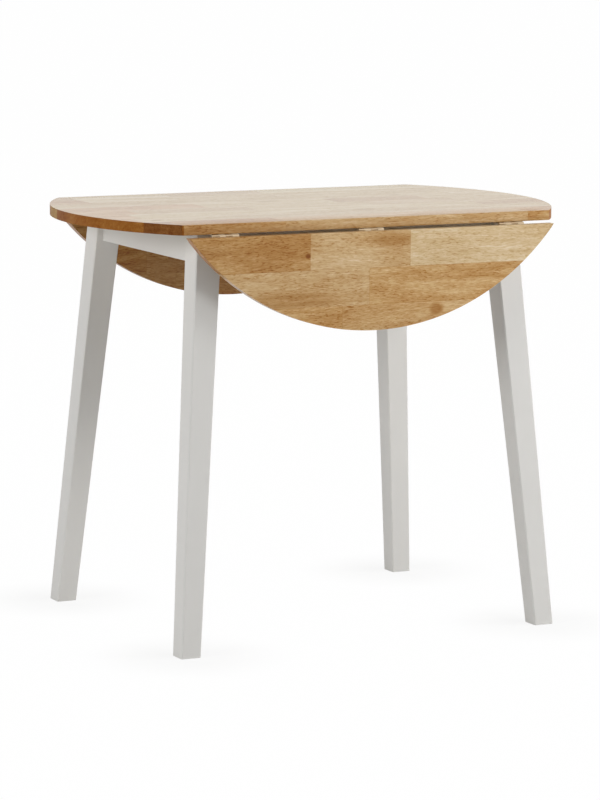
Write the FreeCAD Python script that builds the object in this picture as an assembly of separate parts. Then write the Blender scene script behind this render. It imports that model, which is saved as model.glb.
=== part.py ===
import FreeCAD, Part
import math
import os

# Round drop-leaf dining table. A fixed centre panel stands on a splayed four-leg frame, and a
# half-moon leaf is hinged to each long edge of it. Two flat steel bars slide out under each leaf
# and hold it level. Millimetres: X runs along the hinge lines, -Y is the front, +Z is up, and the
# floor is z = 0. The leaves are modelled as they hang.

# Table top
TOP_DIAMETER = 905.0
TABLE_HEIGHT = 750.0
TOP_THICKNESS = 18.0
PANEL_WIDTH = 554.0  # fixed panel, from one hinge edge to the other
LEAF_JOINT = 2.0  # between the panel's edge and a raised leaf
TOP_EDGE_BEVEL = 1.2
LEAF_SWING = 90.0  # degrees, from hanging to level

# Legs: square, tapered, and splayed along X and along Y
LEG_TOP_SIZE = 48.0
LEG_FOOT_SIZE = 37.5
LEG_END_SETBACK = 161.5  # from the top's round end to the leg's middle, under the panel
LEG_SIDE_SETBACK = 64.0  # from the panel's straight edge to the same point
LEG_LEAN_X = 4.65  # degrees from upright
LEG_LEAN_Y = 5.0  # degrees from upright
LEG_ARRIS = 2.0

# Apron rails
APRON_HEIGHT = 56.0
APRON_THICKNESS = 20.0
APRON_INSET = 10.0  # behind the legs' outer faces at the top

# Sliding support bars
BAR_WIDTH = 30.0
BAR_THICKNESS = 3.0
BAR_TRAVEL = 140.0
BAR_FRONT_X = 130.0  # the back pair is further out, and passes the front pair
BAR_PASSING_GAP = 10.0
BAR_NOSE_REACH = 18.5  # stowed, beyond the apron's outer face
BAR_NOSE_BEVEL = 7.0
BAR_TAIL_COVER = 1.0  # drawn out, behind the inner guide
BAR_TOP_GAP = 0.3  # under the panel and under a raised leaf
BAR_LEAF_GAP = 0.5  # over a hanging leaf's top edge
NOTCH_CLEARANCE = 1.0  # around a bar, in the apron

# Bar guides: two straps folded under each bar
GUIDE_THICKNESS = 2.0
GUIDE_WIDTH = 20.0
GUIDE_FOOT = 16.0
GUIDE_SIDE_GAP = 0.6
GUIDE_FLOOR_GAP = 0.3
GUIDE_APRON_GAP = 6.0
GUIDE_SPACING = 55.0

# Stop screws: one runs in each bar's slot, between the two guides
STOP_SPACING = 25.0  # from the outer guide's middle
STOP_RADIUS = 3.0
STOP_CLEARANCE = 0.3
STOP_HEAD_FLATS = 12.0
STOP_HEAD_HEIGHT = 3.0
STOP_DEPTH = 12.0  # into the panel

# Hinges: the pin is low enough for the bars to pass over a hanging leaf
HINGE_END_SETBACK = 77.0  # from the joint's end to the outer hinges' middles
HINGE_LENGTH = 50.0
HINGE_PLATE_WIDTH = 28.0  # from the pin's axis
HINGE_PLATE_THICKNESS = 1.2
HINGE_KNUCKLES = 4
HINGE_KNUCKLE_GAP = 0.3
HINGE_WOOD_GAP = 0.8  # between a knuckle and the panel's underside
HINGE_PIN_RADIUS = 1.0
HINGE_PIN_CLEARANCE = 0.05

# Corner brackets, with a bolt into each leg
BRACKET_THICKNESS = 2.0
BRACKET_HEIGHT = 40.0
BRACKET_FLANGE = 28.0
BRACKET_STANDOFF = 14.0  # from the leg's inner corner
BOLT_RADIUS = 4.0
BOLT_DEPTH = 30.0  # into the leg
BOLT_HEAD_FLATS = 13.0
BOLT_HEAD_HEIGHT = 5.5
BOLT_HOLE_CLEARANCE = 0.5
THREAD_CLEARANCE = 0.05

# Angle brackets between the aprons and the panel
ANGLE_THICKNESS = 2.0
ANGLE_LEG = 20.0
ANGLE_WIDTH = 22.0

# Worked out from the sizes above
TOP_RADIUS = TOP_DIAMETER / 2
UNDERSIDE_Z = TABLE_HEIGHT - TOP_THICKNESS
PIN_DROP = BAR_TOP_GAP + BAR_THICKNESS + BAR_LEAF_GAP - LEAF_JOINT / 2
HINGE_Y = PANEL_WIDTH / 2 + LEAF_JOINT / 2
HINGE_Z = UNDERSIDE_Z - PIN_DROP
HINGE_SPACING = math.sqrt(TOP_RADIUS**2 - HINGE_Y**2) - HINGE_END_SETBACK
KNUCKLE_RADIUS = PIN_DROP - HINGE_WOOD_GAP
LEG_TOP_X = TOP_RADIUS - LEG_END_SETBACK
LEG_TOP_Y = PANEL_WIDTH / 2 - LEG_SIDE_SETBACK
APRON_OUTER_X = LEG_TOP_X + LEG_TOP_SIZE / 2 - APRON_INSET
APRON_OUTER_Y = LEG_TOP_Y + LEG_TOP_SIZE / 2 - APRON_INSET
APRON_INNER_X = APRON_OUTER_X - APRON_THICKNESS
APRON_INNER_Y = APRON_OUTER_Y - APRON_THICKNESS
APRON_BOTTOM_Z = UNDERSIDE_Z - APRON_HEIGHT
BAR_Z = UNDERSIDE_Z - BAR_TOP_GAP - BAR_THICKNESS
BAR_BACK_X = BAR_FRONT_X + BAR_WIDTH + BAR_PASSING_GAP
GUIDE_OUTER_Y = APRON_INNER_Y - GUIDE_APRON_GAP - GUIDE_WIDTH / 2
GUIDE_INNER_Y = GUIDE_OUTER_Y - GUIDE_SPACING
STOP_Y = GUIDE_OUTER_Y - STOP_SPACING
BOLT_Z = UNDERSIDE_Z - APRON_HEIGHT / 2
BOLT_HEAD_START = BRACKET_STANDOFF + BRACKET_THICKNESS  # from the leg's inner corner
SAME_PLACE = 1e-6  # points nearer than this are one point

SIDES = {"front": -1, "back": 1}
ENDS = {"left": -1, "right": 1}
HINGE_PLACES = {"left": -HINGE_SPACING, "center": 0.0, "right": HINGE_SPACING}
BAR_X = {"front": BAR_FRONT_X, "back": BAR_BACK_X}

Vector = FreeCAD.Vector
ALONG_X = Vector(1, 0, 0)
ALONG_Y = Vector(0, 1, 0)
UP = Vector(0, 0, 1)
INWARD = Vector(-1, -1, 0).normalize()  # from the back right leg to the table's middle


# Shared helpers


def block(low, high):
    """A box between two opposite corners."""
    size = high - low
    return Part.makeBox(size.x, size.y, size.z, low)


def prism(points, along):
    """A flat outline pushed along a vector."""
    return Part.Face(Part.makePolygon(points + points[:1])).extrude(along)


def to_corner(shape, end, side):
    """A piece of the back right corner, mirrored to another corner."""
    if end < 0:
        shape = shape.mirror(Vector(), ALONG_X)
    if side < 0:
        shape = shape.mirror(Vector(), ALONG_Y)
    return shape


def edges_on(shape, axis, place):
    """The edges whose ends are all at one distance along an axis."""
    found = []
    for edge in shape.Edges:
        if all(abs(v.Point.dot(axis) - place) < SAME_PLACE for v in edge.Vertexes):
            found.append(edge)
    return found


def folded_strip(path, thickness, width):
    """Sheet metal folded along a path in the XY plane, thick to the left of it and as wide as
    asked along Z."""
    left = []
    last = len(path) - 1
    for i, point in enumerate(path):
        before = path[max(i, 1)] - path[max(i, 1) - 1]
        after = path[min(i, last - 1) + 1] - path[min(i, last - 1)]
        n1 = UP.cross(before).normalize()
        n2 = UP.cross(after).normalize()
        left.append(point + (n1 + n2) * (thickness / (1 + n1.dot(n2))))
    return prism(path + left[::-1], UP * width)


def hexagon(base, along, flats):
    """A hexagon prism from a point, along a vector as long as it is."""
    turned = FreeCAD.Rotation(UP, along)
    corners = []
    for step in range(6):
        angle = math.radians(60 * step)
        corner = Vector(math.cos(angle), math.sin(angle), 0) * (flats / math.sqrt(3))
        corners.append(base + turned.multVec(corner))
    return prism(corners, along)


def stood_up(shape):
    """A piece drawn in the XY plane, turned so that its +Y is up and its +Z is to the front."""
    return shape.rotated(Vector(), ALONG_X, 90)


def rod(base, along, radius):
    """A cylinder from a point, along a vector as long as it is."""
    return Part.makeCylinder(radius, along.Length, base, along)


# Table top


def eased(board):
    """A board of the top with its upper and lower edges bevelled."""
    rims = edges_on(board, UP, UNDERSIDE_Z) + edges_on(board, UP, TABLE_HEIGHT)
    return board.makeChamfer(TOP_EDGE_BEVEL, rims)


def disc():
    """The whole round top, before it is cut into panel and leaves."""
    return Part.makeCylinder(TOP_RADIUS, TOP_THICKNESS, Vector(0, 0, UNDERSIDE_Z))


def center_panel():
    """The fixed middle of the top, with holes for the bars' stop screws."""
    corner = Vector(TOP_RADIUS, PANEL_WIDTH / 2, 0)
    strip = block(UP * UNDERSIDE_Z - corner, UP * TABLE_HEIGHT + corner)
    panel = eased(disc().common(strip))
    for side, y_sign in SIDES.items():
        for x_sign in ENDS.values():
            spot = Vector(x_sign * BAR_X[side], y_sign * STOP_Y, UNDERSIDE_Z)
            hole = rod(spot, UP * STOP_DEPTH, STOP_RADIUS + THREAD_CLEARANCE)
            panel = panel.cut(hole)
    return panel


def hung(shape):
    """A piece of the raised back leaf, swung down to where it hangs."""
    piece = shape.copy()
    piece.rotate(Vector(0, HINGE_Y, HINGE_Z), ALONG_X, -LEAF_SWING)
    return piece


def back_leaf():
    """The half-moon leaf of the back."""
    inner_edge = HINGE_Y + LEAF_JOINT / 2
    low = Vector(-TOP_RADIUS, inner_edge, UNDERSIDE_Z)
    high = Vector(TOP_RADIUS, TOP_RADIUS, TABLE_HEIGHT)
    return hung(eased(disc().common(block(low, high))))


# Legs and aprons


def leg_half(z):
    """Half the leg's width at a height."""
    return (LEG_FOOT_SIZE + (LEG_TOP_SIZE - LEG_FOOT_SIZE) * z / UNDERSIDE_Z) / 2


def leg_center(z):
    """The middle of the back right leg at a height."""
    drop = UNDERSIDE_Z - z
    x = LEG_TOP_X + drop * math.tan(math.radians(LEG_LEAN_X))
    y = LEG_TOP_Y + drop * math.tan(math.radians(LEG_LEAN_Y))
    return Vector(x, y, z)


def eased_square(z):
    """The corner points of the leg's outline at a height, with its arrises taken off."""
    points = []
    for sx, sy in ((1, 1), (-1, 1), (-1, -1), (1, -1)):
        corner = leg_center(z) + Vector(sx, sy, 0) * leg_half(z)
        beside = corner - Vector(sx * LEG_ARRIS, 0, 0)
        below = corner - Vector(0, sy * LEG_ARRIS, 0)
        points += [below, beside] if sx * sy > 0 else [beside, below]
    return points


def back_right_leg():
    """A flat-sided tapered leg, drilled for its bolt."""
    foot = eased_square(0)
    top = eased_square(UNDERSIDE_Z)
    outlines = [foot, top]
    for i in range(len(foot)):
        outlines.append([foot[i - 1], foot[i], top[i], top[i - 1]])
    faces = [Part.Face(Part.makePolygon(o + o[:1])) for o in outlines]
    leg = Part.Solid(Part.makeShell(faces))
    drill = bolt_rod(BOLT_RADIUS + THREAD_CLEARANCE, -BOLT_DEPTH, BRACKET_STANDOFF)
    return leg.cut(drill)


def rail(along, out):
    """An apron rail that runs along one axis and faces out along the other, its ends cut to the
    legs' slope."""
    inner_face = Vector(APRON_INNER_X, APRON_INNER_Y, 0).dot(out)
    corners = [(-1, APRON_BOTTOM_Z), (1, APRON_BOTTOM_Z), (1, UNDERSIDE_Z), (-1, UNDERSIDE_Z)]
    outline = []
    for sign, z in corners:
        end = leg_center(z).dot(along) - leg_half(z)
        outline.append(along * (sign * end) + out * inner_face + UP * z)
    return prism(outline, out * APRON_THICKNESS)


def notched(apron, side):
    """A long apron with the notches that its side's bars slide through."""
    corner = Vector(BAR_WIDTH / 2 + NOTCH_CLEARANCE, APRON_OUTER_Y, 0)
    low = UP * (BAR_Z - NOTCH_CLEARANCE) - corner
    high = UP * UNDERSIDE_Z + corner
    for sign in ENDS.values():
        place = ALONG_X * (sign * BAR_X[side])
        apron = apron.cut(block(low + place, high + place))
    return apron


# Hinges: modelled about a pin at the origin, open flat, with the leaf towards +Y


def hinge_plate(stations):
    """The plate under the leaf's edge, with knuckles at some of the stations along the pin."""
    setback = KNUCKLE_RADIUS + HINGE_WOOD_GAP
    low_z = PIN_DROP - HINGE_PLATE_THICKNESS
    half = HINGE_LENGTH / 2
    low = Vector(-half, setback, low_z)
    high = Vector(half, HINGE_PLATE_WIDTH, PIN_DROP)
    plate = block(low, high)
    curl = [(0, 0), (0, KNUCKLE_RADIUS), (setback, PIN_DROP), (setback, low_z)]
    pitch = HINGE_LENGTH / HINGE_KNUCKLES
    for station in stations:
        start = -half + station * pitch + HINGE_KNUCKLE_GAP / 2
        plate = plate.fuse(knuckle(start, pitch - HINGE_KNUCKLE_GAP, curl))
    return plate


def knuckle(start, length, curl):
    """A knuckle's barrel, and the curl that joins it to its plate."""
    along = ALONG_X * length
    barrel = rod(Vector(start, 0, 0), along, KNUCKLE_RADIUS)
    return barrel.fuse(prism([Vector(start, y, z) for y, z in curl], along))


def leaf_plate():
    """The moving plate, whose knuckles turn on the pin."""
    bore = HINGE_PIN_RADIUS + HINGE_PIN_CLEARANCE
    start = Vector(-HINGE_LENGTH / 2, 0, 0)
    plate = hinge_plate(range(1, HINGE_KNUCKLES, 2))
    return plate.cut(rod(start, ALONG_X * HINGE_LENGTH, bore)).removeSplitter()


def panel_plate():
    """The fixed plate, with the pin staked in its knuckles."""
    inset = Vector(HINGE_KNUCKLE_GAP / 2 - HINGE_LENGTH / 2, 0, 0)
    along = ALONG_X * (HINGE_LENGTH - HINGE_KNUCKLE_GAP)
    plate = hinge_plate(range(0, HINGE_KNUCKLES, 2))
    plate = plate.fuse(rod(inset, along, HINGE_PIN_RADIUS)).removeSplitter()
    return plate.mirror(Vector(), ALONG_Y)


# Sliding bars and their guides: those of the back, with the bar's middle at x = 0


def slide_bar():
    """A flat bar, stowed, with a bevelled nose and the long slot that its stop screw runs in."""
    half = BAR_WIDTH / 2
    thick = UP * BAR_THICKNESS
    tail = GUIDE_INNER_Y - GUIDE_WIDTH / 2 - BAR_TAIL_COVER - BAR_TRAVEL
    nose = APRON_OUTER_Y + BAR_NOSE_REACH
    bar = block(Vector(-half, tail, BAR_Z), Vector(half, nose, BAR_Z) + thick)
    tip = edges_on(bar, ALONG_Y, nose)
    corners = [e for e in tip if abs(e.Length - BAR_THICKNESS) < SAME_PLACE]
    return bar.makeChamfer(BAR_NOSE_BEVEL, corners).cut(bar_slot(thick))


def bar_slot(thick):
    """What the slot takes out of a bar: as long as the travel, and round at both ends."""
    half = STOP_RADIUS + STOP_CLEARANCE
    inner = Vector(0, STOP_Y - BAR_TRAVEL, BAR_Z)
    outer = Vector(0, STOP_Y, BAR_Z)
    slot = block(inner - ALONG_X * half, outer + ALONG_X * half + thick)
    for end in (inner, outer):
        slot = slot.fuse(rod(end, thick, half))
    return slot.removeSplitter()


def bar_guide(y):
    """A strap folded under the bar, with a foot on each side of it."""
    wall = BAR_WIDTH / 2 + GUIDE_SIDE_GAP
    floor = BAR_Z - GUIDE_FLOOR_GAP - UNDERSIDE_Z
    foot = wall + GUIDE_THICKNESS + GUIDE_FOOT
    right = [(foot, 0), (wall, 0), (wall, floor)]
    left = [(-x, z) for x, z in right[::-1]]
    path = [Vector(x, z, 0) for x, z in right + left]
    strip = stood_up(folded_strip(path, GUIDE_THICKNESS, GUIDE_WIDTH))
    return strip.translated(Vector(0, y + GUIDE_WIDTH / 2, UNDERSIDE_Z))


def stop_screw():
    """The screw through a bar's slot, whose head is just under the bar."""
    shoulder = Vector(0, STOP_Y, BAR_Z - STOP_CLEARANCE)
    shank = rod(shoulder, UP * (UNDERSIDE_Z + STOP_DEPTH - shoulder.z), STOP_RADIUS)
    return shank.fuse(hexagon(shoulder, UP * -STOP_HEAD_HEIGHT, STOP_HEAD_FLATS))


# Corner brackets and leg bolts, at the back right corner


def bolt_point(distance):
    """A point on the leg bolt's axis, so far from the leg's inner corner."""
    return leg_center(BOLT_Z) + INWARD * (leg_half(BOLT_Z) * math.sqrt(2) + distance)


def bolt_rod(radius, start, end):
    """A rod on the leg bolt's axis, between two distances from the leg's inner corner."""
    return rod(bolt_point(start), INWARD * (end - start), radius)


def corner_bracket():
    """A plate across the corner, with a flange screwed to each apron."""
    web = bolt_point(BRACKET_STANDOFF)
    across = web.x + web.y
    end_y = across - APRON_INNER_X
    long_x = across - APRON_INNER_Y
    path = [
        Vector(APRON_INNER_X, end_y - BRACKET_FLANGE, 0),
        Vector(APRON_INNER_X, end_y, 0),
        Vector(long_x, APRON_INNER_Y, 0),
        Vector(long_x - BRACKET_FLANGE, APRON_INNER_Y, 0),
    ]
    bracket = folded_strip(path, BRACKET_THICKNESS, BRACKET_HEIGHT)
    bracket = bracket.translated(UP * (BOLT_Z - BRACKET_HEIGHT / 2))
    return bracket.cut(bolt_rod(BOLT_RADIUS + BOLT_HOLE_CLEARANCE, 0, BOLT_HEAD_START))


def leg_bolt():
    """The hexagon-headed bolt that pulls the leg into the corner."""
    shank = bolt_rod(BOLT_RADIUS, -BOLT_DEPTH, BOLT_HEAD_START)
    seat = bolt_point(BOLT_HEAD_START)
    return shank.fuse(hexagon(seat, INWARD * BOLT_HEAD_HEIGHT, BOLT_HEAD_FLATS))


def angle_bracket():
    """A small angle under the panel, against an apron whose inner face is at x = 0."""
    path = [Vector(0, -ANGLE_LEG, 0), Vector(), Vector(-ANGLE_LEG, 0, 0)]
    angle = stood_up(folded_strip(path, ANGLE_THICKNESS, ANGLE_WIDTH))
    return angle.translated(Vector(0, ANGLE_WIDTH / 2, 0))


# The whole table


def table_top():
    """The panel and the two leaves."""
    leaf = back_leaf()
    return {
        "center_panel": center_panel(),
        "leaf_front": to_corner(leaf, 1, -1),
        "leaf_back": leaf,
    }


def corner_pieces():
    """What repeats at the four corners: legs, brackets, and the leg bolts, kept together."""
    masters = {"leg": back_right_leg(), "corner_bracket": corner_bracket()}
    bolt = leg_bolt()
    parts = {}
    bolts = []
    for side, y_sign in SIDES.items():
        for end, x_sign in ENDS.items():
            for name, piece in masters.items():
                parts[f"{name}_{side}_{end}"] = to_corner(piece, x_sign, y_sign)
            bolts.append(to_corner(bolt, x_sign, y_sign))
    parts["leg_bolts"] = Part.makeCompound(bolts)
    return parts


def aprons():
    """The four rails, the long ones notched for the bars."""
    long_rail = rail(ALONG_X, ALONG_Y)
    end_rail = rail(ALONG_Y, ALONG_X)
    return {
        "apron_front": notched(to_corner(long_rail, 1, -1), "front"),
        "apron_back": notched(long_rail, "back"),
        "apron_left": to_corner(end_rail, -1, 1),
        "apron_right": end_rail,
    }


def hinges():
    """Three hinges for each leaf."""
    parts = {}
    for place, x in HINGE_PLACES.items():
        spot = Vector(x, HINGE_Y, HINGE_Z)
        pieces = {
            "panel_plate": panel_plate().translated(spot),
            "leaf_plate": hung(leaf_plate().translated(spot)),
        }
        for piece, shape in pieces.items():
            for side, y_sign in SIDES.items():
                parts[f"hinge_{side}_{place}_{piece}"] = to_corner(shape, 1, y_sign)
    return parts


def bars():
    """The four sliding bars, their guides and their stop screws."""
    masters = {
        "slide_bar": slide_bar(),
        "guide_outer": bar_guide(GUIDE_OUTER_Y),
        "guide_inner": bar_guide(GUIDE_INNER_Y),
    }
    screw = stop_screw()
    parts = {}
    screws = []
    for side, y_sign in SIDES.items():
        for end, x_sign in ENDS.items():
            place = ALONG_X * (x_sign * BAR_X[side])
            for name, piece in masters.items():
                bar_piece = to_corner(piece, 1, y_sign).translated(place)
                parts[f"{name}_{side}_{end}"] = bar_piece
            screws.append(to_corner(screw, 1, y_sign).translated(place))
    parts["stop_screws"] = Part.makeCompound(screws)
    return parts


def angle_brackets():
    """One angle in the middle of each apron."""
    angle = angle_bracket()
    right = angle.translated(Vector(APRON_INNER_X, 0, UNDERSIDE_Z))
    turned = angle.rotated(Vector(), UP, 90)
    back = turned.translated(Vector(0, APRON_INNER_Y, UNDERSIDE_Z))
    return {
        "angle_bracket_right": right,
        "angle_bracket_left": to_corner(right, -1, 1),
        "angle_bracket_back": back,
        "angle_bracket_front": to_corner(back, 1, -1),
    }


def main():
    os.makedirs("parts", exist_ok=True)
    groups = (table_top, corner_pieces, aprons, hinges, bars, angle_brackets)
    for group in groups:
        for name, shape in group().items():
            shape.exportStep(os.path.join("parts", name + ".step"))


main()
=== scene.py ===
import math
import random

import bmesh
import bpy
from mathutils import Matrix, Vector


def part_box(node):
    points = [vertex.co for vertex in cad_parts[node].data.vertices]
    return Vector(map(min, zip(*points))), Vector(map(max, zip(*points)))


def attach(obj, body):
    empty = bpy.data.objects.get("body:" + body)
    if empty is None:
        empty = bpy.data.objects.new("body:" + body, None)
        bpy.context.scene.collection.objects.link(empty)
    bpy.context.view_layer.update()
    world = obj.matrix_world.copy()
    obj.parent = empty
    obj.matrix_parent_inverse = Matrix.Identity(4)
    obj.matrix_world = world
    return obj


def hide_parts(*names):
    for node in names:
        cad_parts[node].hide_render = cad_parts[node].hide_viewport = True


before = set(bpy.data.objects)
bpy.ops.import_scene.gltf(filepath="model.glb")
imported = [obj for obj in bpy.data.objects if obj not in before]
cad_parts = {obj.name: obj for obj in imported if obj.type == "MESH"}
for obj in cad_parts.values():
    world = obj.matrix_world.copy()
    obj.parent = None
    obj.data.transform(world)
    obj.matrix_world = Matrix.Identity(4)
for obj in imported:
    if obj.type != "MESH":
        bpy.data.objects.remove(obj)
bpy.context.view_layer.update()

random.seed(11)

# Sizes are in metres and angles in degrees, unless it says otherwise

# The camera, as it was fitted to the photograph
SENSOR_WIDTH = 36.0  # millimetres
LENS = 171.6  # millimetres
CAMERA_AZIMUTH = -26.27
CAMERA_ELEVATION = 8.35
CAMERA_ROLL = 0.38
CAMERA_TARGET = (0.0014, 0.0, 0.3911)
CAMERA_DISTANCE = 6.9468

# Lamps: name, azimuth, elevation, distance, width and power
LAMPS = (
    ("key", -80, 18, 4.4, 2.0, 95),
    ("fill", 25, 26, 4.4, 1.6, 64),
    ("side", 60, 24, 4.4, 1.6, 93),
    ("top", 0, 85, 3.8, 3.0, 11),
    ("back", 172, 32, 4.4, 2.6, 49),
)
LAMP_TARGET = (0, 0, 0.45)

FLOOR_HALF = 60.0
FOOT_HALF = 0.019

# The boards of the top
TOP_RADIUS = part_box("center_panel")[1].x
BOARD_THICKNESS = 0.018
JOINT = 0.002
EDGE_ROUND = 0.0015
ARC_STEP = math.radians(1.5)
PANEL_ROWS = 8
LEAF_GLUE_LINES = (0.0635, 0.128)  # from the leaf's straight edge
NO_GLUE_LINE = 9.0  # so far away that none shows

# How far a round edge looks like end grain: where it runs along the staves, and what the turn
# to straight across them adds
PANEL_END_GRAIN = (0.0, 1.0)
LEAF_END_GRAIN = (0.26, 0.08)

PAINTED_EDGE_ROUND = 0.0008

# Screws: the radius of their heads, the metal under them, and how far they sit from its ends
HINGE_HEAD = 0.0032
HINGE_METAL = 0.0015
HINGE_INSET = 0.012
HINGE_STEPS = (-0.015, 0.015)  # from the middle of the hinge
FRAME_HEAD = 0.0034
FRAME_METAL = 0.002
GUIDE_INSET = 0.008
CORNER_INSET = 0.014
CORNER_RISE = 0.009
ANGLE_INSET = 0.012

# Colours of the wood
STRAW = (0.592, 0.434, 0.243)
HONEY = (0.490, 0.285, 0.107)
AMBER = (0.360, 0.165, 0.038)
RUSSET = (0.400, 0.170, 0.060)
UMBER = (0.290, 0.145, 0.062)
TOP_CAST = (0.985, 1.03, 0.93)


def blend(a, b, share):
    return tuple(x + (y - x) * share for x, y in zip(a, b))


# Staves row by row, the first row at the board's straight edge: where they end along the board,
# and their colours. The panel's other rows are drawn by chance, apart from their first staves.
PANEL_FIRST_ROW = (
    [-0.36, -0.1645, 0.3147],
    [
        blend(HONEY, UMBER, 0.7),
        blend(HONEY, AMBER, 0.5),
        blend(HONEY, STRAW, 0.30),
        blend(HONEY, AMBER, 0.12),
    ],
)
PANEL_FIRST_STAVES = {
    1: blend(HONEY, AMBER, 0.10),
    2: blend(HONEY, AMBER, 0.05),
    3: HONEY,
    4: blend(HONEY, AMBER, 0.25),
}
LEAF_STAVES = {
    "front": [
        (
            [-0.1275, 0.0675],
            [blend(HONEY, AMBER, 0.50), blend(HONEY, STRAW, 0.42), STRAW],
        ),
        ([-0.0125], [blend(HONEY, STRAW, 0.38), HONEY]),
        ([-0.065], [HONEY, blend(HONEY, STRAW, 0.10)]),
    ],
    # The back leaf's staves are darker brown than the rest: painted shade, for the shade under
    # the table on its inner face
    "back": [
        ([-0.1, 0.14], [blend(AMBER, UMBER, 0.3), blend(HONEY, AMBER, 0.9), HONEY]),
        ([-0.18, 0.09], [AMBER, blend(HONEY, AMBER, 0.7), blend(HONEY, AMBER, 0.5)]),
        ([-0.12, 0.15], [blend(HONEY, AMBER, 0.8), blend(HONEY, AMBER, 0.9), HONEY]),
    ],
}

# Knots and darker streaks in the wood: where, how far they reach each way, and how dark
MARKS = (
    ((0.120, -0.299, 0.587), (0.019, 0.02, 0.013), 0.60),
    ((-0.132, -0.299, 0.690), (0.007, 0.02, 0.006), 0.75),
    ((-0.175, -0.299, 0.612), (0.15, 0.02, 0.018), 0.40),
    ((0.035, -0.299, 0.712), (0.055, 0.02, 0.020), 0.30),
    ((-0.362, -0.178, 0.750), (0.016, 0.008, 0.02), 0.75),
    ((0.235, 0.088, 0.750), (0.018, 0.009, 0.02), 0.75),
    ((-0.035, 0.065, 0.750), (0.035, 0.014, 0.02), 0.45),
    ((0.060, -0.135, 0.750), (0.030, 0.012, 0.02), 0.45),
)


# Nodes of materials


def put(tree, kind, inputs=(), **settings):
    """A node with its settings, and its inputs linked where they are sockets."""
    made = tree.nodes.new(kind)
    for name, value in settings.items():
        setattr(made, name, value)
    for key, value in dict(inputs).items():
        if isinstance(value, bpy.types.NodeSocket):
            tree.links.new(value, made.inputs[key])
        else:
            made.inputs[key].default_value = value
    return made


def calc(tree, operation, *values):
    """The result of a Math node."""
    return put(tree, "ShaderNodeMath", enumerate(values), operation=operation).outputs[0]


def vector_calc(tree, operation, *values):
    """The result of a Vector Math node: a number where it measures, and else a vector."""
    made = put(tree, "ShaderNodeVectorMath", enumerate(values), operation=operation)
    return made.outputs["Value" if operation in ("LENGTH", "DISTANCE") else "Vector"]


def spread(tree, value, low, high, to_low=0.0, to_high=1.0):
    """A value's range from low to high, stretched to another range and held in it."""
    made = put(
        tree,
        "ShaderNodeMapRange",
        {0: value, 1: low, 2: high, 3: to_low, 4: to_high},
        interpolation_type="SMOOTHSTEP",
    )
    return made.outputs[0]


def noise(tree, vector, stretch, detail, roughness=0.5):
    """Noise of about unit-sized cells along each axis after the stretch, from 0 to 1."""
    inputs = {
        "Vector": vector_calc(tree, "MULTIPLY", vector, stretch),
        "Scale": 1.0,
        "Detail": detail,
        "Roughness": roughness,
    }
    return put(tree, "ShaderNodeTexNoise", inputs).outputs[0]


def mixed_color(tree, share, first, second):
    made = put(tree, "ShaderNodeMix", {0: share, 6: first, 7: second}, data_type="RGBA")
    return made.outputs[2]


def bump(tree, height, strength, distance):
    inputs = {"Strength": strength, "Distance": distance, "Height": height}
    return put(tree, "ShaderNodeBump", inputs).outputs[0]


def object_place(tree):
    return put(tree, "ShaderNodeTexCoord").outputs["Object"]


def new_tree(name):
    material = bpy.data.materials.new(name)
    material.use_nodes = True
    material.node_tree.nodes.clear()
    return material, material.node_tree


def set_surface(tree, inputs):
    """One shader with these inputs, as the whole surface of a material."""
    shader = put(tree, "ShaderNodeBsdfPrincipled", inputs)
    put(tree, "ShaderNodeOutputMaterial", {"Surface": shader.outputs[0]})


# Camera, lamps, floor and world


def add_object(name, data):
    made = bpy.data.objects.new(name, data)
    bpy.context.scene.collection.objects.link(made)
    return made


def sight(azimuth, elevation):
    """The unit vector from what is looked at to whoever looks, at these angles."""
    a, e = math.radians(azimuth), math.radians(elevation)
    return Vector((math.sin(a) * math.cos(e), -math.cos(a) * math.cos(e), math.sin(e)))


def add_camera():
    data = bpy.data.cameras.new("camera")
    data.sensor_width = SENSOR_WIDTH
    data.lens = LENS
    camera = add_object("camera", data)
    back = sight(CAMERA_AZIMUTH, CAMERA_ELEVATION)
    right = Vector((0, 0, 1)).cross(back).normalized()
    up = back.cross(right)
    roll = Matrix.Rotation(math.radians(CAMERA_ROLL), 3, back)
    axes = Matrix((roll @ right, roll @ up, back)).transposed().to_4x4()
    place = Vector(CAMERA_TARGET) + back * CAMERA_DISTANCE
    camera.matrix_world = Matrix.Translation(place) @ axes
    bpy.context.scene.camera = camera


def add_lamp(name, azimuth, elevation, distance, width, power):
    """A soft disk that looks at the table. What shines back from it is the white surround."""
    data = bpy.data.lights.new(name, "AREA")
    data.shape = "DISK"
    data.size = width
    data.energy = power
    lamp = add_object(name, data)
    lamp.visible_glossy = False
    toward = sight(azimuth, elevation)
    lamp.location = Vector(LAMP_TARGET) + toward * distance
    lamp.rotation_euler = toward.to_track_quat("Z", "Y").to_euler()


def seen_directly(tree):
    """1 for rays that show the background as it is: camera, mirror and glass rays."""
    rays = put(tree, "ShaderNodeLightPath").outputs
    glossy = calc(tree, "MAXIMUM", rays["Is Camera Ray"], rays["Is Glossy Ray"])
    return calc(tree, "MAXIMUM", glossy, rays["Is Transmission Ray"])


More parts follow.
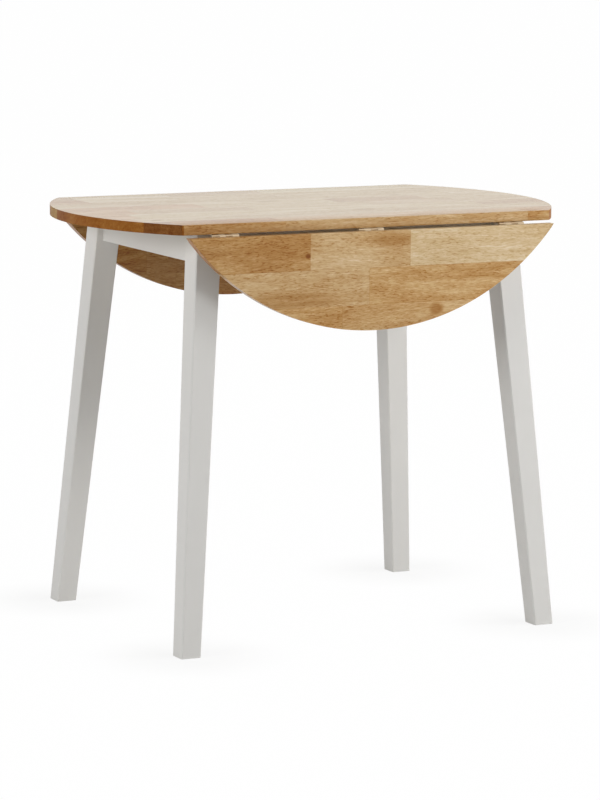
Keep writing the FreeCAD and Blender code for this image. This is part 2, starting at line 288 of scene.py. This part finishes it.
def add_floor():
    """White paper with a painted shade about each foot, where the table's real shadow on it also
    shows most.
    """
    material, tree = new_tree("floor")
    paper = put(tree, "ShaderNodeBsdfDiffuse", {"Color": (0.75, 0.75, 0.74, 1)})
    white = put(tree, "ShaderNodeEmission", {"Color": (1, 1, 1, 1), "Strength": 1.0})
    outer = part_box("leg_back_right")[1]
    foot = (outer.x - FOOT_HALF, outer.y - FOOT_HALF, 0.0)
    place = vector_calc(tree, "ABSOLUTE", object_place(tree))
    from_foot = vector_calc(tree, "DISTANCE", place, foot)
    # Painted shade: nearer a foot, less white and more of the lit paper, so the floor is darker
    # there however it is lit, and its real shadow shows more there
    white_share_painted_foot_shade = spread(tree, from_foot, 0.03, 0.20, 0.88, 0.993)
    share = calc(tree, "MULTIPLY", seen_directly(tree), white_share_painted_foot_shade)
    parts = {0: share, 1: paper.outputs[0], 2: white.outputs[0]}
    both = put(tree, "ShaderNodeMixShader", parts)
    put(tree, "ShaderNodeOutputMaterial", {"Surface": both.outputs[0]})
    mesh = bpy.data.meshes.new("floor")
    half = FLOOR_HALF
    corners = [(-half, -half, 0), (half, -half, 0), (half, half, 0), (-half, half, 0)]
    mesh.from_pydata(corners, [], [(0, 1, 2, 3)])
    mesh.materials.append(material)
    floor = add_object("floor", mesh)


def set_world():
    """White where it is seen directly, and a weak warm light on everything."""
    world = bpy.data.worlds.new("studio")
    world.use_nodes = True
    tree = world.node_tree
    tree.nodes.clear()
    weak = {"Color": (1.0, 0.99, 0.975, 1), "Strength": 0.08}
    soft = put(tree, "ShaderNodeBackground", weak)
    white = put(tree, "ShaderNodeBackground", {"Color": (1, 1, 1, 1), "Strength": 1.0})
    parts = {0: seen_directly(tree), 1: soft.outputs[0], 2: white.outputs[0]}
    both = put(tree, "ShaderNodeMixShader", parts)
    put(tree, "ShaderNodeOutputWorld", {"Surface": both.outputs[0]})
    bpy.context.scene.world = world
    bpy.context.scene.view_settings.view_transform = "Standard"


# Materials


def mark(tree, at, center, size):
    """1 in the middle of a knot or a streak, and 0 outside it."""
    apart = vector_calc(tree, "SUBTRACT", at, center)
    inverse = tuple(1.0 / s for s in size)
    shaped = vector_calc(tree, "MULTIPLY", apart, inverse)
    return spread(tree, vector_calc(tree, "LENGTH", shaped), 0.35, 1.0, 1.0, 0.0)


def hardwood():
    """Clear-lacquered staves. Each corner carries the stave's colour (on the back leaf darkened
    as painted shade), how far the face looks like end grain, where it lies in the tree, and how
    far it is from the stave's glue lines."""
    material, tree = new_tree("hardwood")
    stave, grain, across, along = (
        put(tree, "ShaderNodeAttribute", attribute_name=name).outputs
        for name in ("stave", "grain", "from_sides", "from_ends")
    )
    end = stave["Alpha"]

    # The fibres sway a little on their way along the stave
    slow = vector_calc(tree, "MULTIPLY", grain["Vector"], (7, 18, 18))
    sway = put(tree, "ShaderNodeTexNoise", {"Vector": slow, "Scale": 1.0, "Detail": 2.0})
    centered = vector_calc(tree, "SUBTRACT", sway.outputs["Color"], (0.5, 0.5, 0.5))
    reach = (0, 0.016, 0.016)
    grain = vector_calc(tree, "MULTIPLY_ADD", centered, reach, grain["Vector"])

    # Growth rings about the pith, bent by a slow wander
    wander = noise(tree, grain, (3.5, 14, 14), 2.0)
    from_pith = vector_calc(tree, "MULTIPLY", grain, (0, 1, 1))
    bent = calc(
        tree, "MULTIPLY_ADD", wander, 0.030, vector_calc(tree, "LENGTH", from_pith)
    )
    phase = calc(tree, "MULTIPLY", bent, 2 * math.pi / 0.0105)
    rings = calc(tree, "MULTIPLY_ADD", calc(tree, "SINE", phase), 0.5, 0.5)

    # Slow clouds, long fibre streaks and short open pores
    clouds = noise(tree, grain, (6, 30, 30), 3.0, 0.6)
    streaks = noise(tree, grain, (10, 120, 120), 3.0, 0.6)
    fibres = noise(tree, grain, (80, 470, 470), 3.0, 0.6)
    open_pores = spread(tree, noise(tree, grain, (110, 600, 600), 1.0), 0.56, 0.68)
    pores = calc(tree, "MULTIPLY", open_pores, spread(tree, clouds, 0.30, 0.65, 0.25, 1.0))

    # Glue lines
    nearest = []
    for distances in (across, along):
        parts = put(tree, "ShaderNodeSeparateXYZ", {0: distances["Vector"]}).outputs
        nearest.append(calc(tree, "MINIMUM", parts[0], parts[1]))
    glue = spread(tree, calc(tree, "MINIMUM", *nearest), 0.0001, 0.0006, 1.0, 0.0)

    # Where the wood is darker it is also redder, so it all goes through one gamma
    dark = calc(tree, "MULTIPLY_ADD", rings, 0.10, 0.90)
    for value, amount in ((clouds, 0.80), (streaks, 0.65), (fibres, 1.00)):
        centered = calc(tree, "SUBTRACT", value, 0.5)
        dark = calc(tree, "MULTIPLY_ADD", centered, amount, dark)
    for value, amount in ((pores, 0.55), (glue, 0.18), (end, 0.90)):
        dark = calc(tree, "MULTIPLY_ADD", value, amount, dark)
    place = object_place(tree)
    for center, size, amount in MARKS:
        dark = calc(tree, "MULTIPLY_ADD", mark(tree, place, center, size), amount, dark)
    color = put(tree, "ShaderNodeGamma", {"Color": stave["Color"], "Gamma": dark})

    # The lacquer sinks into pores and glue lines, and lies thinner on end grain
    height = calc(tree, "MULTIPLY_ADD", pores, -0.8, calc(tree, "MULTIPLY", streaks, 0.5))
    height = calc(tree, "MULTIPLY_ADD", glue, -0.8, height)
    gloss = calc(tree, "MULTIPLY_ADD", clouds, 0.10, 0.40)
    gloss = calc(tree, "MULTIPLY_ADD", pores, 0.12, gloss)
    bare = spread(tree, end, 0.05, 0.55)
    set_surface(
        tree,
        {
            "Base Color": color.outputs[0],
            "Roughness": gloss,
            "IOR": 1.3,
            "Specular IOR Level": calc(tree, "MULTIPLY_ADD", bare, -0.35, 0.5),
            "Coat Weight": calc(tree, "MULTIPLY_ADD", bare, -0.75, 0.75),
            "Coat IOR": 1.3,
            "Coat Roughness": 0.20,
            "Normal": bump(tree, height, 0.30, 0.0003),
        },
    )
    return material


def paint():
    """Satin off-white paint, thin enough for the wood's grain to show faintly in it."""
    material, tree = new_tree("paint")
    place = object_place(tree)
    grain = noise(tree, place, (260, 260, 22), 2.0)
    level = noise(tree, place, (9, 9, 5), 3.0)
    peel = noise(tree, place, (700, 700, 500), 1.0)
    share = calc(tree, "MULTIPLY_ADD", level, 0.30, calc(tree, "MULTIPLY", grain, 0.15))
    dull, bright = (0.66, 0.65, 0.627, 1), (0.725, 0.717, 0.70, 1)
    height = calc(tree, "MULTIPLY_ADD", peel, 0.35, grain)
    set_surface(
        tree,
        {
            "Base Color": mixed_color(tree, share, dull, bright),
            "Roughness": calc(tree, "MULTIPLY_ADD", level, 0.12, 0.36),
            "IOR": 1.47,
            "Normal": bump(tree, height, 0.18, 0.0002),
        },
    )
    return material


def plated(name, dull, bright, roughness, stretch):
    """Plated steel: soft clouds in its colour, and fine scratches along one way."""
    material, tree = new_tree(name)
    place = object_place(tree)
    clouds = noise(tree, place, (90, 90, 90), 3.0)
    scratches = noise(tree, place, stretch, 2.0, 0.7)
    set_surface(
        tree,
        {
            "Base Color": mixed_color(tree, clouds, dull, bright),
            "Metallic": 1.0,
            "Roughness": calc(tree, "MULTIPLY_ADD", scratches, 0.16, roughness),
            "Normal": bump(tree, scratches, 0.15, 0.0001),
        },
    )
    return material


# Boards of the top, glued up from staves. A board is drawn flat: x along the staves, v across
# them from the middle of the top, and w up from its underside.


def disc_outline(near, far):
    """The part of the round top between two distances from its middle line, counterclockwise."""
    start, stop = (math.asin(v / TOP_RADIUS) for v in (near, far))
    count = max(2, round((stop - start) / ARC_STEP))
    angles = [start + (stop - start) * i / count for i in range(count + 1)]
    right = [(TOP_RADIUS * math.cos(a), TOP_RADIUS * math.sin(a)) for a in angles]
    left = [(-x, v) for x, v in reversed(right)]
    return right + (left[1:] if far >= TOP_RADIUS else left)


def slab(outline):
    """The outline, as thick as a board, with its upper and lower rims rounded over."""
    bm = bmesh.new()
    low = [bm.verts.new((x, v, 0)) for x, v in outline]
    high = [bm.verts.new((x, v, BOARD_THICKNESS)) for x, v in outline]
    bm.faces.new(list(reversed(low)))
    bm.faces.new(high)
    count = len(outline)
    for i in range(count):
        j = (i + 1) % count
        bm.faces.new((low[i], low[j], high[j], high[i]))
    rims = [e for e in bm.edges if abs(e.verts[0].co.z - e.verts[1].co.z) < 1e-6]
    bmesh.ops.bevel(
        bm, geom=rims, offset=EDGE_ROUND, segments=3, profile=0.5, affect="EDGES"
    )
    return bm


def split(bm, faces, point, normal):
    """Cut these faces along a plane. What is handed over has a fixed order, as has the result."""
    edges = dict.fromkeys(e for f in faces for e in f.edges)
    verts = dict.fromkeys(v for f in faces for v in f.verts)
    parts = [*verts, *edges, *faces]
    bmesh.ops.bisect_plane(bm, geom=parts, dist=1e-6, plane_co=point, plane_no=normal)


def count_below(value, edges):
    return sum(1 for edge in edges if value > edge)


def tree_place(row_start):
    """Where in its tree a stave was cut: how far along it, where the pith is, and the slope."""
    return (
        random.uniform(-40, 40),
        random.uniform(-0.02, 0.09) + row_start,
        random.uniform(0.035, 0.10) * random.choice((-1, 1)),
        random.uniform(-0.05, 0.05),
    )


def board(name, node, body, rows, staves, end_grain, to_place):
    """A board in place of its node. rows are its first edge, the glue lines across it and its
    last edge, and staves gives, for each row, where its staves end and their colours."""
    bm = slab(disc_outline(rows[0], rows[-1]))
    glue_lines = rows[1:-1]
    for line in glue_lines:
        split(bm, list(bm.faces), (0, line, 0), (0, 1, 0))
    for index, (ends, _) in enumerate(staves):
        for end in ends:
            inside = [
                f
                for f in bm.faces
                if count_below(f.calc_center_median().y, glue_lines) == index
            ]
            split(bm, inside, (end, 0, 0), (1, 0, 0))
    bm.normal_update()

    # What each face shows: its row, its stave, its end grain and whether it is part of a curve
    facts = []
    for face in bm.faces:
        middle = face.calc_center_median()
        row = count_below(middle.y, glue_lines)
        stave = count_below(middle.x, staves[row][0])
        turn = face.normal.x**2
        end = end_grain[0] + end_grain[1] * turn if turn > 1e-6 else 0.0
        facts.append((row, stave, end, max(abs(c) for c in face.normal) < 0.9999))
    mesh = bpy.data.meshes.new(name)
    bm.to_mesh(mesh)
    bm.free()

    # Every corner of the mesh gets what the material of the wood reads
    roots = [[tree_place(rows[row]) for _ in colors] for row, (_, colors) in enumerate(staves)]
    values = {"grain": [], "from_sides": [], "from_ends": [], "stave": []}
    for polygon, (row, stave, end, curved) in zip(mesh.polygons, facts):
        polygon.use_smooth = curved
        ends, colors = staves[row]
        shift, pith_v, pith_w, slope = roots[row][stave]
        first = ends[stave - 1] if stave else -NO_GLUE_LINE
        last = ends[stave] if stave < len(ends) else NO_GLUE_LINE
        side_a = rows[row] if row else -NO_GLUE_LINE
        side_b = rows[row + 1] if row + 2 < len(rows) else NO_GLUE_LINE
        for corner in polygon.loop_indices:
            x, v, w = mesh.vertices[mesh.loops[corner].vertex_index].co
            values["grain"] += [x + shift, v - pith_v + slope * x, w - pith_w]
            values["from_sides"] += [v - side_a, side_b - v, 0]
            values["from_ends"] += [x - first, last - x, 0]
            values["stave"] += [*colors[stave], end]
    for key, numbers in values.items():
        kind, field = ("FLOAT_VECTOR", "vector")
        if key == "stave":
            kind, field = ("FLOAT_COLOR", "color")
        mesh.attributes.new(key, kind, "CORNER").data.foreach_set(field, numbers)

    mesh.transform(to_place)
    mesh.set_sharp_from_angle(angle=math.radians(35))
    mesh.materials.append(WOOD)
    piece = add_object(name, mesh)
    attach(piece, body)
    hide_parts(node)


def chance_color():
    """The colour of one stave among many: mostly honey, now and then pale or brown."""
    base = blend(STRAW, AMBER, min(1.0, max(0.0, random.gauss(0.32, 0.20))))
    base = blend(base, RUSSET, random.uniform(0.0, 0.06))
    return tuple(c * cast for c, cast in zip(base, TOP_CAST))


def chance_row():
    """Where the staves of a row end, and their colours."""
    ends = []
    x = random.uniform(-0.42, -0.18)
    while x < 0.44:
        ends.append(x)
        x += random.uniform(0.17, 0.40)
    return ends, [chance_color() for _ in range(len(ends) + 1)]


def add_panel():
    low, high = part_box("center_panel")
    width = high.y - low.y
    rows = [width * i / PANEL_ROWS + low.y for i in range(PANEL_ROWS + 1)]
    staves = [chance_row() for _ in range(PANEL_ROWS)]
    staves[0] = PANEL_FIRST_ROW
    for row, color in PANEL_FIRST_STAVES.items():
        staves[row][1][0] = color
    to_place = Matrix.Translation((0, 0, low.z))
    board("panel", "center_panel", "frame", rows, staves, PANEL_END_GRAIN, to_place)


def add_leaves():
    """The leaves, as they hang: each is turned down about its straight edge."""
    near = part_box("center_panel")[1].y + JOINT
    rows = [near, *(near + line for line in LEAF_GLUE_LINES), TOP_RADIUS]
    for side, sign in (("front", -1), ("back", 1)):
        low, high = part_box("leaf_" + side)
        inner = sign * min(abs(low.y), abs(high.y))
        to_place = Matrix(
            (
                (1, 0, 0, 0),
                (0, 0, sign, inner),
                (0, -1, 0, high.z + near),
                (0, 0, 0, 1),
            )
        )
        name, leaf = "leaf_board_" + side, "leaf_" + side
        board(name, leaf, leaf, rows, LEAF_STAVES[side], LEAF_END_GRAIN, to_place)


# Painted pieces: the frame's own shapes with their edges softened


def softened(node, width, material):
    """A node's shape with every longer edge rounded over, in place of the node."""
    bm = bmesh.new()
    bm.from_mesh(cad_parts[node].data)
    bmesh.ops.remove_doubles(bm, verts=bm.verts, dist=1e-6)
    flat = math.radians(1)
    bmesh.ops.dissolve_limit(bm, angle_limit=flat, verts=bm.verts, edges=bm.edges)
    edges = [
        e
        for e in bm.edges
        if len(e.link_faces) == 2
        and e.calc_face_angle(0.0) > math.radians(30)
        and e.calc_length() > 0.012
    ]
    bmesh.ops.bevel(
        bm, geom=edges, offset=width, segments=2, profile=0.5, affect="EDGES",
        clamp_overlap=True,
    )
    mesh = bpy.data.meshes.new(node + "_eased")
    bm.to_mesh(mesh)
    bm.free()
    mesh.materials.append(material)
    piece = add_object(node + "_eased", mesh)
    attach(piece, "frame")
    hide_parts(node)


def recolor(node, material):
    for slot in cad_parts[node].material_slots:
        slot.material = material


# Screws


def screw_head(radius):
    """A countersunk head that faces +Z at the origin, with a cross recess."""
    bm = bmesh.new()

    def ring(points):
        verts = [bm.verts.new(p) for p in points]
        edges = [bm.edges.new((verts[i], verts[i - 1])) for i in range(len(verts))]
        return verts, edges

    def round_ring(r, z):
        turns = [2 * math.pi * i / 28 for i in range(28)]
        return ring([(r * math.cos(t), r * math.sin(t), z) for t in turns])

    def bridge(first, second):
        for i in range(len(first)):
            bm.faces.new((first[i - 1], first[i], second[i], second[i - 1]))

    rim, _ = round_ring(radius, 0)
    crown, crown_edges = round_ring(0.9 * radius, 0.0003)
    arm, half = 0.55 * radius, 0.13 * radius
    corner = [(arm, -half), (arm, half), (half, half)]
    cross = []
    for quarter in range(4):
        c, s = math.cos(quarter * math.pi / 2), math.sin(quarter * math.pi / 2)
        cross += [(x * c - y * s, x * s + y * c) for x, y in corner]
    mouth, mouth_edges = ring([(x, y, 0.0004) for x, y in cross])
    bottom, _ = ring([(0.7 * x, 0.7 * y, -0.0008) for x, y in cross])
    bridge(rim, crown)
    bridge(mouth, bottom)
    bm.faces.new(bottom)
    bmesh.ops.triangle_fill(bm, edges=crown_edges + mouth_edges, use_beauty=True)
    bmesh.ops.recalc_face_normals(bm, faces=bm.faces)
    mesh = bpy.data.meshes.new("screw_head")
    bm.to_mesh(mesh)
    bm.free()
    return mesh


def add_screws(name, body, material, radius, places):
    """Screw heads, given where each sits and which way it faces."""
    head = screw_head(radius)
    bm = bmesh.new()
    for spot, facing in places:
        made = len(bm.verts)
        bm.from_mesh(head)
        bm.verts.ensure_lookup_table()
        turn = Vector(facing).to_track_quat("Z", "Y").to_matrix().to_4x4()
        spin = Matrix.Rotation(random.uniform(0, math.pi), 4, "Z")
        where = Matrix.Translation(Vector(spot)) @ turn @ spin
        bmesh.ops.transform(bm, matrix=where, verts=bm.verts[made:])
    mesh = bpy.data.meshes.new(name)
    bm.to_mesh(mesh)
    bm.free()
    mesh.materials.append(material)
    piece = add_object(name, mesh)
    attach(piece, body)


def add_hinge_screws():
    for side, sign in (("front", -1), ("back", 1)):
        fixed, moving = [], []
        for place in ("left", "center", "right"):
            low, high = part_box(f"hinge_{side}_{place}_panel_plate")
            middle = (low.x + high.x) / 2
            y = (low.y if sign > 0 else high.y) + sign * HINGE_INSET
            for step in HINGE_STEPS:
                fixed.append(((middle + step, y, high.z - HINGE_METAL), (0, 0, -1)))
            low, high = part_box(f"hinge_{side}_{place}_leaf_plate")
            y = sign * (max(abs(low.y), abs(high.y)) - HINGE_METAL)
            for step in HINGE_STEPS:
                moving.append(((middle + step, y, low.z + HINGE_INSET), (0, -sign, 0)))
        for kind, body, places in (
            ("panel", "frame", fixed),
            ("leaf", f"leaf_{side}", moving),
        ):
            name = f"hinge_screws_{side}_{kind}"
            add_screws(name, body, NICKEL, HINGE_HEAD, places)


def add_frame_screws():
    """The screws of the guides, of the corner brackets and of the angle brackets."""
    places = []
    for side, y_sign in (("front", -1), ("back", 1)):
        for end, x_sign in (("left", -1), ("right", 1)):
            for guide in ("guide_outer", "guide_inner"):
                low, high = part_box(f"{guide}_{side}_{end}")
                y, z = (low.y + high.y) / 2, high.z - FRAME_METAL
                for x in (low.x + GUIDE_INSET, high.x - GUIDE_INSET):
                    places.append(((x, y, z), (0, 0, -1)))
            low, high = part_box(f"corner_bracket_{side}_{end}")
            far_x, near_x = (f(abs(low.x), abs(high.x)) for f in (max, min))
            far_y, near_y = (f(abs(low.y), abs(high.y)) for f in (max, min))
            for z in (low.z + CORNER_RISE, high.z - CORNER_RISE):
                x, y = x_sign * (far_x - FRAME_METAL), y_sign * (near_y + CORNER_INSET)
                places.append(((x, y, z), (-x_sign, 0, 0)))
                x, y = x_sign * (near_x + CORNER_INSET), y_sign * (far_y - FRAME_METAL)
                places.append(((x, y, z), (0, -y_sign, 0)))
    for name, out in (
        ("left", Vector((-1, 0, 0))),
        ("right", Vector((1, 0, 0))),
        ("front", Vector((0, -1, 0))),
        ("back", Vector((0, 1, 0))),
    ):
        low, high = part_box("angle_bracket_" + name)
        far = max(low.dot(out), high.dot(out))
        on_apron = out * (far - FRAME_METAL) + Vector((0, 0, high.z - ANGLE_INSET))
        on_panel = out * (far - ANGLE_INSET) + Vector((0, 0, high.z - FRAME_METAL))
        places += [(on_apron, -out), (on_panel, (0, 0, -1))]
    add_screws("frame_screws", "frame", ZINC, FRAME_HEAD, places)


WOOD = hardwood()
PAINT = paint()
NICKEL = plated("nickel", (0.52, 0.40, 0.26, 1), (0.80, 0.66, 0.47, 1), 0.32, (40, 900, 900))
ZINC = plated("zinc", (0.50, 0.51, 0.53, 1), (0.66, 0.67, 0.68, 1), 0.34, (900, 40, 900))

add_camera()
set_world()
add_floor()
for lamp in LAMPS:
    add_lamp(*lamp)

add_panel()
add_leaves()
for name in sorted(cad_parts):
    if name.startswith(("leg_", "apron_")) and name != "leg_bolts":
        softened(name, PAINTED_EDGE_ROUND, PAINT)
    elif name.startswith("hinge_"):
        recolor(name, NICKEL)
    elif name not in ("center_panel", "leaf_front", "leaf_back"):
        recolor(name, ZINC)
add_hinge_screws()
add_frame_screws()
